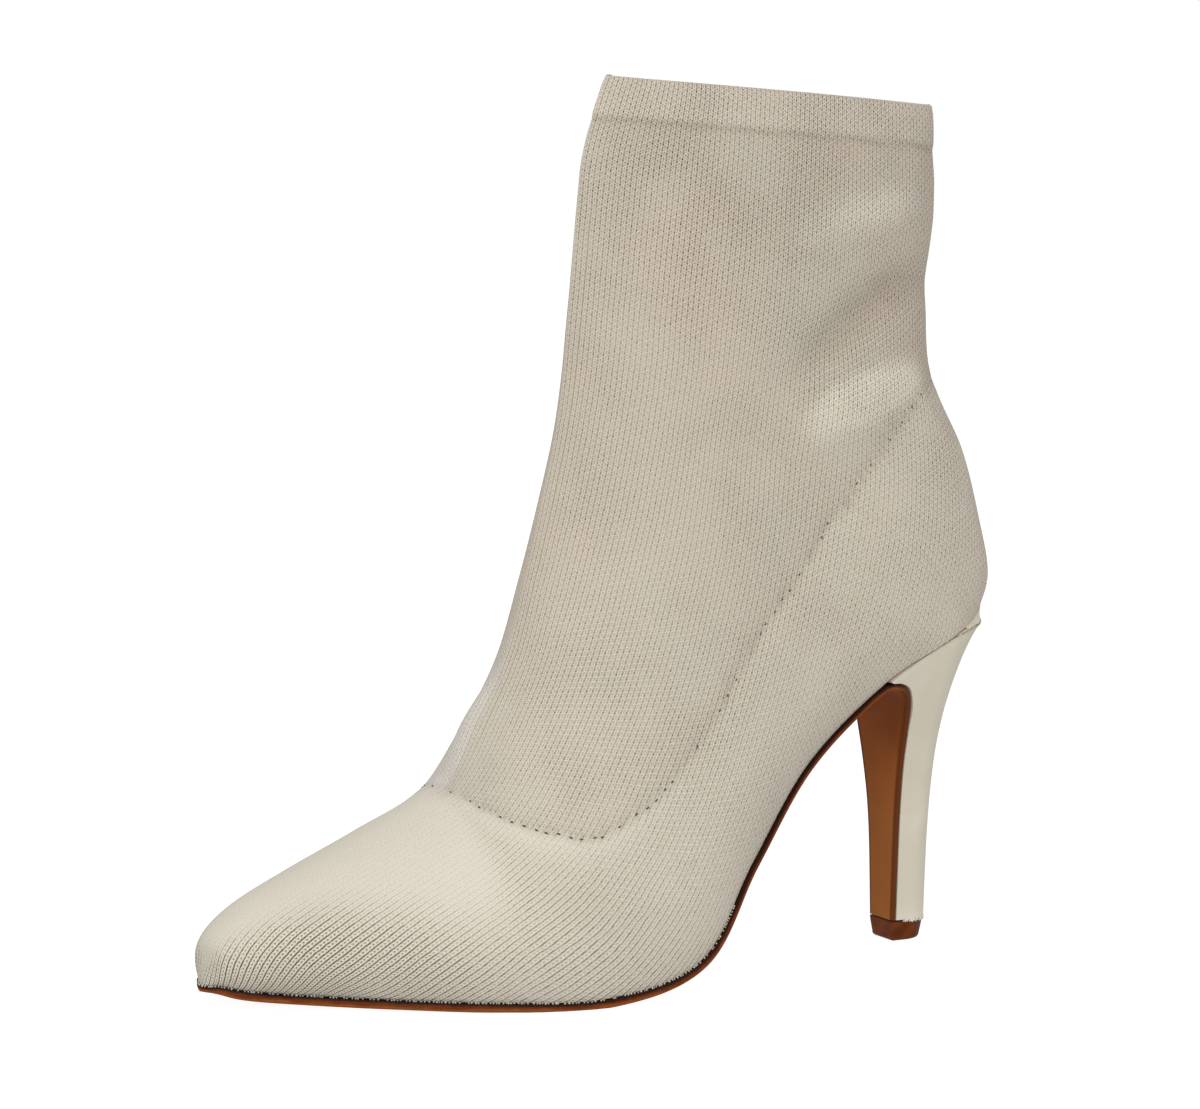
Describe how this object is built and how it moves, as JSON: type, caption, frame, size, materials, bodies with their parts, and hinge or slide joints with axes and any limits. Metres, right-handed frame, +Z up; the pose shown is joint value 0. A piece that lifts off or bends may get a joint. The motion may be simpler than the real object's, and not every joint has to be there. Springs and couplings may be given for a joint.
{
  "type": "sock boot",
  "caption": "Pointed knit ankle sock boot with folded collar, thin leather outsole and slim covered stiletto heel; hollow upper, stands on sole and heel tip.",
  "frame": {"origin": "centre of the boot's box on the floor that it stands on", "axes": "+Z up, toe towards -Y, outer (lateral) side of this left boot towards +X"},
  "size_m": [0.0761, 0.2412, 0.241],
  "materials": {
    "knit": "matte knit, warm off-white",
    "sole_leather": "satin tan leather with dark painted edge",
    "heel_cover": "matte suede-like cover, cream",
    "tip": "satin dark brown",
    "insole_board": "matte lining, beige"
  },
  "bodies": {
    "root": {"upper": "knit", "outsole": "sole_leather", "heel": "heel_cover", "top_piece": "tip", "insole": "insole_board"}
  },
  "joints": []
}
